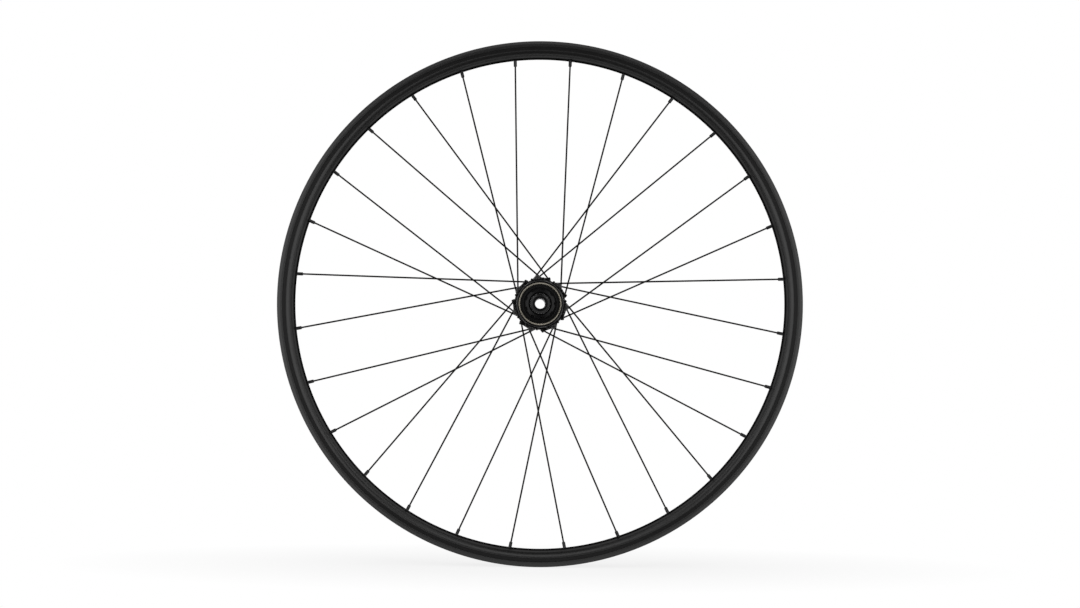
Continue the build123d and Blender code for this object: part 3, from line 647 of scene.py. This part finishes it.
hubShape = {
    "lip": (28.3, 29.0),  # radius and front face
    "cavity": (25.62, 17.8),  # radius and floor
    "driveFlange": (28.55, 24.7, 16.3),  # rim radius, front and back
    "driveFlare": (2.8, 16),  # sagitta and points of the arcs from the flanges to the waist
    "discFlare": (1.4, 12),
    "flareRadius": 28.3,
    "waist": (16.0, -1.0, -20.0),
    "discFlange": (31.47, -29.3, -37.7),
    "neck": (19.0, -43.2, -58.5),
    "spigot": (17.45, -61.0),
    "bearingSeats": (14.02, -53.0, 10.0),  # radius, inner end on the disc side and on the drive side
    "bore": 11.5,
    "rounds": {"mouth": 0.2, "lip": 2.3, "lipRoot": 0.2, "driveFront": 0.1, "driveBack": 0.5, "waist": 3.0,
               "discRoot": 1.0, "discEdge": 0.8, "neck": 2.5, "spigotRoot": 0.3, "spigotEdge": 0.5,
               "spigotMouth": 0.3, "seatMouth": 0.2},
    "cornerSteps": 6,
    # tangent radius of the spokes, first angle and root
    "bosses": {"drive": (24.2, 45.0, 26.9), "disc": (26.8, 135.0, 26.0)},
    "bossCount": 7,
    "bossReach": 38.5714,  # degrees from a boss to the rim holes of its spokes
    "seatRadius": 298.7,  # distance of the nipples' seats from the axle
    "headSpread": 13.5,  # degrees from a boss's middle to a head's seat
    "spot": 0.5,  # how deep a head's seat lies in the flank
    "lobe": (2.7, 3.2),  # half width across the spoke, length along it
    "topRise": 2.05,  # how much further out the notch lies than the heads' seats
    "bossCorners": (0.0, 1.5, 1.5, 0.8),  # corner radii at the root, the lobe's two ends and the notch
    "bossRound": 0.8,
    "bossSide": 0.9,  # longest side of the outline
    "post": (3.75, 30.65, 22.95),  # radius, distance from the axle, station of the nose's centre
    "postBevel": (0.15, 0.5),  # the two steps of the soft edge at its back
    "postTip": 0.1,
    "postSteps": 10,
    "postSides": 32,
    "pocket": (2.1, -0.2, 1.8),  # radius, from and to along the spoke
    "spokeHole": (1.15, 12.6),
    "holeShoulder": 0.001,
    "rotor": (21.0, -51.5, -58.5),  # plate radius, back and face
    "rotorRound": 0.5,
    "rotorOpening": 16.5,  # the plate's own opening, inside the wall of the neck
    "ears": {"circle": 22.0, "radius": 5.3, "fillet": 2.0, "count": 6},
    "earPoints": (25, 7, 9),  # on an ear, on a fillet and on the disc between two ears
    "bolt": (2.1, 0.35, 0.5),  # hole radius, bevel at its mouth, reach past both faces
    "drillSides": 24,
    "segments": 288,
}


def hubProfile(shape):
    # from the lip's inner edge over the outside to the spigot, and back through the bores
    lipR, lipEnd = shape["lip"]
    cavityR, cavityFloor = shape["cavity"]
    driveR, driveFront, driveBack = shape["driveFlange"]
    waistR, waistDrive, waistDisc = shape["waist"]
    discR, discFront, discBack = shape["discFlange"]
    neckR, neckStart, neckEnd = shape["neck"]
    spigotR, spigotEnd = shape["spigot"]
    seatR, discSeat, driveSeat = shape["bearingSeats"]
    flareR, bore = shape["flareRadius"], shape["bore"]
    driveArc = bowedArc((flareR, driveBack), (waistR, waistDrive), *shape["driveFlare"])
    discArc = bowedArc((waistR, waistDisc), (flareR, discFront), *shape["discFlare"])
    rounds = shape["rounds"]
    rows = [
        (cavityR, lipEnd, rounds["mouth"]), (lipR, lipEnd, rounds["lip"]),
        (lipR, driveFront, rounds["lipRoot"]), (driveR, driveFront, rounds["driveFront"]),
        (driveR, driveBack, rounds["driveBack"]),
        *[(*point, 0.0) for point in driveArc[1:-1]], (waistR, waistDrive, rounds["waist"]),
        (waistR, waistDisc, rounds["waist"]), *[(*point, 0.0) for point in discArc[1:-1]],
        (flareR, discFront, rounds["discRoot"]), (discR, discFront, rounds["discEdge"]),
        (discR, discBack, rounds["discEdge"]), (flareR, discBack, rounds["discRoot"]),
        (neckR, neckStart, rounds["neck"]), (neckR, neckEnd, 0.0), (spigotR, neckEnd, rounds["spigotRoot"]),
        (spigotR, spigotEnd, rounds["spigotEdge"]), (seatR, spigotEnd, rounds["spigotMouth"]),
        (seatR, discSeat, 0.0), (bore, discSeat, 0.0), (bore, driveSeat, 0.0), (seatR, driveSeat, 0.0),
        (seatR, cavityFloor, rounds["seatMouth"]), (cavityR, cavityFloor, 0.0)]
    return roundCorners(rows, shape["cornerSteps"])


def bossOutline(shape, side):
    # the spokes of a boss run tangent to a circle of radius t: with the foot angle
    # f = reach - acos(t / seat) a head's seat lies at radius t / cos(spread + f), and the flank stands
    # square to the spoke
    tangent, first, rootX = shape["bosses"][side]
    foot = np.radians(shape["bossReach"]) - np.arccos(tangent / shape["seatRadius"])
    spread = np.radians(shape["headSpread"])
    head = tangent / np.cos(spread + foot) * np.array([np.cos(spread), -np.sin(spread)])
    along = np.array([-np.sin(foot), np.cos(foot)])
    across = np.array([along[1], -along[0]])
    flank = head - along * shape["spot"]
    root = flank - across * (flank[0] - rootX) / across[0]
    lobe = flank + across * shape["lobe"][0]
    lobeEnd = lobe + along * shape["lobe"][1]
    notch = lobeEnd - across * (lobeEnd[0] - head[0] - shape["topRise"]) / across[0]
    half = np.column_stack([[root, lobe, lobeEnd, notch], shape["bossCorners"]])
    outline = roundCorners(np.concatenate([half, half[::-1] * [1, -1, 1]]), shape["cornerSteps"])
    return turnedBy(denser(outline, shape["bossSide"]), evenAngles(shape["bossCount"], first))


def rotorOutline(shape):
    # a disc with round ears: each fillet f touches the disc R and an ear r from outside, so its centre is
    # R + f from the axle and r + f from the ear's centre
    plateR, ears = shape["rotor"][0], shape["ears"]
    circle, earR, fillet, count = ears["circle"], ears["radius"], ears["fillet"], ears["count"]
    earPoints, filletPoints, discPoints = shape["earPoints"]
    x = (circle**2 + (plateR + fillet)**2 - (earR + fillet)**2) / (2 * circle)
    centre = np.array([x, np.sqrt((plateR + fillet)**2 - x**2)])
    fromAxle = np.degrees(np.arctan2(centre[1], centre[0]))
    fromEar = np.degrees(np.arctan2(centre[1], centre[0] - circle))
    pitch = 360 / count
    nextFillet = arcRound(centre * [1, -1], fillet, 180 - fromAxle, 180 - fromEar, filletPoints)[1:-1]
    one = np.concatenate([
        arcRound((circle, 0), earR, -fromEar, fromEar, earPoints),
        arcRound(centre, fillet, fromEar - 180, fromAxle - 180, filletPoints)[1:],
        arcRound((0, 0), plateR, fromAxle, pitch - fromAxle, discPoints)[1:],
        turnedBy(nextFillet, np.array([pitch]))[0]])
    return turnedBy(one, evenAngles(count)).reshape(1, -1, 2)


def postMesh(shape):
    # a round bar with a soft edge at its back and a half-ball nose towards the drive side: over the quarter
    # turn u the nose goes on by radius sin u while its ring shrinks to radius cos u
    radius, distance, nose = shape["post"]
    small, large = shape["postBevel"]
    back = shape["driveFlange"][2]
    turn = np.linspace(0, np.pi / 2, shape["postSteps"])[1:-1]
    travel = np.concatenate([
        [back, back + small, back + large, nose], nose + radius * np.sin(turn), [nose + radius]])
    rings = np.concatenate([
        [radius - large, radius - small, radius, radius], radius * np.cos(turn), [shape["postTip"]]])
    places = placesRound(distance, evenAngles(shape["bossCount"], shape["bosses"]["drive"][1]))
    return roundBars("posts", places, towardsDrive, travel, rings, shape["postSides"])


def hubMesh(shape):
    # the turned body with bosses, posts and rotor mount added, less the pockets and holes of the spokes and
    # the bolt holes
    body = turnedMesh("hub_turned", hubProfile(shape), shape["segments"])
    for side in shape["bosses"]:
        front, back = shape[side + "Flange"][1:]
        bosses = plateMesh(side + "_bosses", bossOutline(shape, side), back, front, shape["bossRound"])
        body = combine(body, bosses, "UNION")
    body = combine(body, postMesh(shape), "UNION")
    back, face = shape["rotor"][1:]
    plate = plateMesh("rotor_mount", rotorOutline(shape), face, back, shape["rotorRound"],
                      opening=shape["rotorOpening"])
    body = combine(body, plate, "UNION")
    pocketR, pocketStart, headPlane = shape["pocket"]
    holeR, holeEnd = shape["spokeHole"]
    travel = [pocketStart, headPlane, headPlane + shape["holeShoulder"], holeEnd]
    radii = [pocketR, pocketR, holeR, holeR]
    drills = roundBars("spoke_drills", starts, ways, travel, radii, shape["drillSides"])
    body = combine(body, drills, "DIFFERENCE")
    places = placesRound(shape["ears"]["circle"], evenAngles(shape["ears"]["count"]))
    boltR, bevel, past = shape["bolt"]
    bolts = roundBars("bolt_drills", places, towardsDisc, [-back - past, -face - bevel, -face + past],
                      [boltR, boltR, boltR + bevel + past], shape["drillSides"])
    return combine(body, bolts, "DIFFERENCE")


hub = newPiece("hub_shell_dressed", hubMesh(hubShape), "wheel", "hub", "hub_shell")
print("hub shell:", len(hub.data.polygons), "faces")

freehubShape = {
    "skirt": (19.6, 19.5, 30.3),  # radius, from and to
    "flange": (20.8, 33.0),  # radius and front face
    "core": 10.0,  # radius inside which the bores take everything away
    "rounds": {"skirtEnd": 0.4, "skirtRoot": 0.15, "flangeBack": 0.4, "flangeFront": 0.5},
    "splines": (17.4, 16.2, 67.0),  # outer and root radius, end
    "grooves": (3.2, 4.6, 9),  # width of the first one, of the others, count
    "splineRounds": (0.3, 0.25),  # at a groove's floor and at its edges
    "landPoints": 12,
    "sleeveOverlap": 1.5,  # how far the splined sleeve starts inside the flange
    "sleeveRound": 0.2,
    "leadIn": ((13.0, 67.13), (18.5, 66.13)),  # the cone on the end of the splines, radius and station
    "leadInEnd": 69.0,
    "bores": ((19.0, 14.02), (26.95, 14.02), (26.951, 11.3), (56.0, 11.3), (56.001, 12.02), (61.9, 12.02),
              (61.901, 13.4), (66.6, 13.4), (67.5, 14.3)),  # station and radius
    "boreSides": 160,
    "springGroove": (14.95, 22.85, 24.15),  # floor radius, from and to
    "pastSkirt": 1.0,  # how far the groove's tool stands out of the skirt
    "pocket": ((21.0, -0.85), (19.44, -7.9), (16.89, -7.9), (15.85, 0.0), (17.6, 1.75), (21.0, 0.0)),
    "heel": (17.6, 1.75),  # distance from the axle and radius
    "heelSides": 32,
    "pocketStations": (20.4, 26.6),
    "pawlAngles": (90.0, 210.0, 330.0),
    "segments": 240,
}


def splineOutline(shape):
    # the outer circle, cut by flat-floored grooves: half a groove's width w meets the circle at
    # asin(w / radius)
    outer, root = shape["splines"][:2]
    keyWidth, width, count = shape["grooves"]
    floorRound, edgeRound = shape["splineRounds"]
    half = np.full(count, width / 2)
    half[0] = keyWidth / 2
    middle = ringAngles(count)
    edge = np.arcsin(half / outer)
    landEnd = np.roll(middle - edge, -1) + [*[0.0] * (count - 1), 2 * np.pi]
    land = np.linspace(middle + edge, landEnd, shape["landPoints"], axis=1)
    lands = outer * np.stack([np.cos(land), np.sin(land)], axis=-1)
    floors = root * np.stack([np.cos(middle), np.sin(middle)], axis=-1)
    aside = half[:, None] * np.stack([-np.sin(middle), np.cos(middle)], axis=-1)
    corners = np.concatenate([(floors - aside)[:, None], (floors + aside)[:, None], lands], axis=1)
    radii = [floorRound, floorRound, edgeRound, *[0.0] * (shape["landPoints"] - 2), edgeRound]
    return roundCorners(np.column_stack([corners.reshape(-1, 2), np.tile(radii, count)]))[None]


def freehubMesh(shape):
    # a turned skirt and flange with the splined sleeve added, less the cone, the bores, the spring's groove
    # and a pocket with a round heel for each pawl
    skirtR, skirtEnd, flangeBack = shape["skirt"]
    flangeR, flangeFront = shape["flange"]
    core, rounds, segments = shape["core"], shape["rounds"], shape["segments"]
    rows = [(core, skirtEnd, 0.0), (skirtR, skirtEnd, rounds["skirtEnd"]),
            (skirtR, flangeBack, rounds["skirtRoot"]), (flangeR, flangeBack, rounds["flangeBack"]),
            (flangeR, flangeFront, rounds["flangeFront"]), (core, flangeFront, 0.0)]
    body = turnedMesh("freehub_turned", roundCorners(rows), segments)
    sleeve = plateMesh("splined_sleeve", splineOutline(shape), flangeFront - shape["sleeveOverlap"],
                       shape["splines"][2], shape["sleeveRound"])
    body = combine(body, sleeve, "UNION")
    inner, outer = shape["leadIn"]
    cone = np.array([inner, outer, (outer[0], shape["leadInEnd"]), (inner[0], shape["leadInEnd"])])
    body = combine(body, turnedMesh("lead_in", cone, segments), "DIFFERENCE")
    stations, radii = zip(*shape["bores"])
    bores = roundBars("bores", [(0, 0, 0)], towardsDrive, stations, radii, shape["boreSides"])
    body = combine(body, bores, "DIFFERENCE")
    grooveR, near, far = shape["springGroove"]
    outside = skirtR + shape["pastSkirt"]
    groove = np.array([(grooveR, near), (outside, near), (outside, far), (grooveR, far)])
    body = combine(body, turnedMesh("spring_groove", groove, segments), "DIFFERENCE")
    near, far = shape["pocketStations"]
    pocket = turnedBy(np.array(shape["pocket"])[::-1], shape["pawlAngles"])
    body = combine(body, plateMesh("pawl_pockets", pocket, near, far, edge=0.0, steps=2), "DIFFERENCE")
    distance, heelR = shape["heel"]
    places = placesRound(distance, shape["pawlAngles"])
    heels = roundBars("pawl_heels", places, towardsDrive, [near, far], [heelR, heelR], shape["heelSides"])
    return combine(body, heels, "DIFFERENCE")


freehub = newPiece("freehub_body_dressed", freehubMesh(freehubShape), "freehub", "freehub", "freehub_body")
print("freehub body:", len(freehub.data.polygons), "faces")

# radius, station and edge round of each corner, stations measured outwards from the wheel's middle
capShapes = {
    "drive_end_cap": {"hand": 1, "segments": 160, "corners": (
        (7.52, 61.0, 0.1), (9.0, 61.0, 0.1), (9.0, 61.4, 0.1), (11.7, 61.4, 0.3), (11.7, 66.6, 0.6),
        (9.4, 68.9, 0.8), (9.4, 74.0, 0.5), (6.1, 74.0, 0.6), (6.1, 71.0, 0.1), (7.52, 71.0, 0.1))},
    "disc_end_cap": {"hand": -1, "segments": 160, "corners": (
        (7.52, 60.0, 0.1), (9.0, 60.0, 0.1), (9.0, 61.4, 0.1), (13.2, 61.4, 0.3), (13.2, 65.6, 0.6),
        (9.4, 69.4, 0.8), (9.4, 74.0, 0.5), (6.1, 74.0, 0.6), (6.1, 71.0, 0.1), (7.52, 71.0, 0.1))},
}
for name, shape in capShapes.items():
    profile = roundCorners(np.array(shape["corners"]) * [1, shape["hand"], 1])
    newPiece(name + "_dressed", turnedMesh(name, profile, shape["segments"]), "axle_set", "end_cap", name)
print("end caps:", len(capShapes))

sealShape = {
    "corners": ((19.62, 27.2, 0.2), (21.475, 27.2, 0.5), (23.35, 28.5, 0.3), (23.35, 29.55, 0.25),
                (21.475, 30.3, 0.8), (19.62, 30.3, 0.1)),  # radius, station and edge round
    "segments": 200,
}
sealMesh = turnedMesh("freehub_seal", roundCorners(sealShape["corners"]), sealShape["segments"])
seal = newPiece("freehub_seal_dressed", sealMesh, "freehub", "seal", "freehub_seal")
print("freehub seal:", len(seal.data.polygons), "faces")

# lengths on the stage are in metres
stageLook = {
    "floorHalf": (0.62, 0.26),  # half the oval across the axle and along it
    "floorZ": -0.3172,
    "floorGrid": (40, 96),  # rings and points on each
    "floorRings": (0.02, 1.5),  # first ring and the power that draws the rings together in the middle
    "paper": (0.82, 0.82, 0.82, 1),
    "shadowShare": 0.17,
    "shadowFade": (0.3, 0.96),  # shares of the oval between which the shadow fades out
    "ambient": 0.20,
    "frontGlow": 0.055,
    "backdrop": (-0.10, 0.50),  # Y of a ray's direction at the dim end and at the white end
}


def floorMesh(look):
    # rings of a flat oval, closer together near its middle
    rings, columns = look["floorGrid"]
    firstRing, power = look["floorRings"]
    ring = (np.linspace(firstRing, 1, rings) ** power / mm)[:, None]
    angle = ringAngles(columns)[None, :]
    halfX, halfY = look["floorHalf"]
    points = np.stack([ring * halfX * np.cos(angle), ring * halfY * np.sin(angle),
                       np.full((rings, columns), look["floorZ"] / mm)], axis=-1)
    quads = gridQuads(rings, columns, closedRows=False)
    return solidMesh("floor", points.reshape(-1, 3), quads, [np.arange(columns)])


def seenBackground(tree):
    # 1 for rays from the camera and for what shines back or shows through, 0 for the light that falls on
    # things; and the camera's rays alone
    path = addNode(tree, "ShaderNodeLightPath").outputs
    shine = mathOf(tree, "MAXIMUM", path["Is Glossy Ray"], path["Is Transmission Ray"])
    return mathOf(tree, "MAXIMUM", shine, path["Is Camera Ray"]), path["Is Camera Ray"]


def floorMaterial(look):
    # paper that takes the wheel's shadow close to it and fades into the white ground further out
    material = bpy.data.materials.new("floor_paper")
    material.use_nodes = True
    tree = material.node_tree
    tree.nodes.remove(tree.nodes["Principled BSDF"])
    place = addNode(tree, "ShaderNodeTexCoord").outputs["Object"]
    halfX, halfY = look["floorHalf"]
    away = lengthOf(tree, place, (1 / halfX, 1 / halfY, 0.0))
    share = rangeOf(tree, away, look["shadowFade"], (1 - look["shadowShare"], 1.0))
    white = mathOf(tree, "MULTIPLY", share, seenBackground(tree)[0])
    paper = addNode(tree, "ShaderNodeBsdfDiffuse", {"Color": look["paper"]})
    glow = addNode(tree, "ShaderNodeEmission", {"Color": (1, 1, 1, 1), "Strength": 1.0})
    both = addNode(tree, "ShaderNodeMixShader", {0: white, 1: paper.outputs[0], 2: glow.outputs[0]})
    tree.links.new(both.outputs[0], tree.nodes["Material Output"].inputs["Surface"])
    return material


def studioWorld(look):
    # white behind the wheel, dim on the side where the camera stands, and an even fill for the light itself
    world = bpy.data.worlds.new("studio")
    scene.world = world
    world.use_nodes = True
    tree = world.node_tree
    seen, byCamera = seenBackground(tree)
    place = addNode(tree, "ShaderNodeTexCoord")
    way = addNode(tree, "ShaderNodeSeparateXYZ", {"Vector": place.outputs["Generated"]})
    backdrop = rangeOf(tree, way.outputs["Y"], look["backdrop"], (look["frontGlow"], 1.0))
    shown = mathOf(tree, "MAXIMUM", backdrop, byCamera)
    level = rangeOf(tree, seen, (0.0, 1.0), (look["ambient"], shown))
    tree.links.new(level, tree.nodes["Background"].inputs["Strength"])
    tree.nodes["Background"].inputs["Color"].default_value = (1, 1, 1, 1)


floor = bpy.data.objects.new("floor", floorMesh(stageLook))
scene.collection.objects.link(floor)
floor.data.materials.append(floorMaterial(stageLook))
studioWorld(stageLook)

# each lamp is turned towards the middle of the wheel
lamps = {
    "left_box": {"place": (-1.48, -2.12, 0.0), "size": (2.2, 2.4), "watts": 27.0},
    "right_box": {"place": (1.48, -2.12, 0.0), "size": (2.2, 2.4), "watts": 26.5},
    "left_panel": {"place": (-2.10, -0.35, 0.40), "size": (1.5, 3.0), "watts": 14.0},
    "right_panel": {"place": (2.10, -0.35, 0.40), "size": (1.5, 3.0), "watts": 14.0},
    "left_high_panel": {"place": (-1.40, -0.40, 1.95), "size": (1.5, 1.4), "watts": 6.5},
    "right_high_panel": {"place": (1.40, -0.40, 1.95), "size": (1.5, 1.4), "watts": 6.5},
    "top_box": {"place": (0.0, -1.55, 1.65), "size": (2.0, 1.0), "watts": 9.0},
}
for name, lamp in lamps.items():
    data = bpy.data.lights.new(name, "AREA")
    data.shape = "RECTANGLE"
    data.size, data.size_y = lamp["size"]
    data.energy = lamp["watts"]
    box = bpy.data.objects.new(name, data)
    scene.collection.objects.link(box)
    box.visible_camera = False
    box.location = lamp["place"]
    box.rotation_euler = (-Vector(lamp["place"])).to_track_quat("-Z", "Y").to_euler()

cameraPlace = {"place": (-0.009, -2.5, -0.022), "lens": 68.74, "sensorWidth": 36.0, "rollDegrees": 0.65}
cameraData = bpy.data.cameras.new("camera")
cameraData.lens, cameraData.sensor_width = cameraPlace["lens"], cameraPlace["sensorWidth"]
camera = bpy.data.objects.new("camera", cameraData)
scene.collection.objects.link(camera)
aim = (-Vector(cameraPlace["place"])).to_track_quat("-Z", "Y").to_matrix().to_4x4()
roll = Matrix.Rotation(np.radians(cameraPlace["rollDegrees"]), 4, "Z")
camera.matrix_world = Matrix.Translation(cameraPlace["place"]) @ aim @ roll
scene.camera = camera
scene.view_settings.view_transform = "Standard"
print("stage, light and camera set")

bpy.context.view_layer.update()
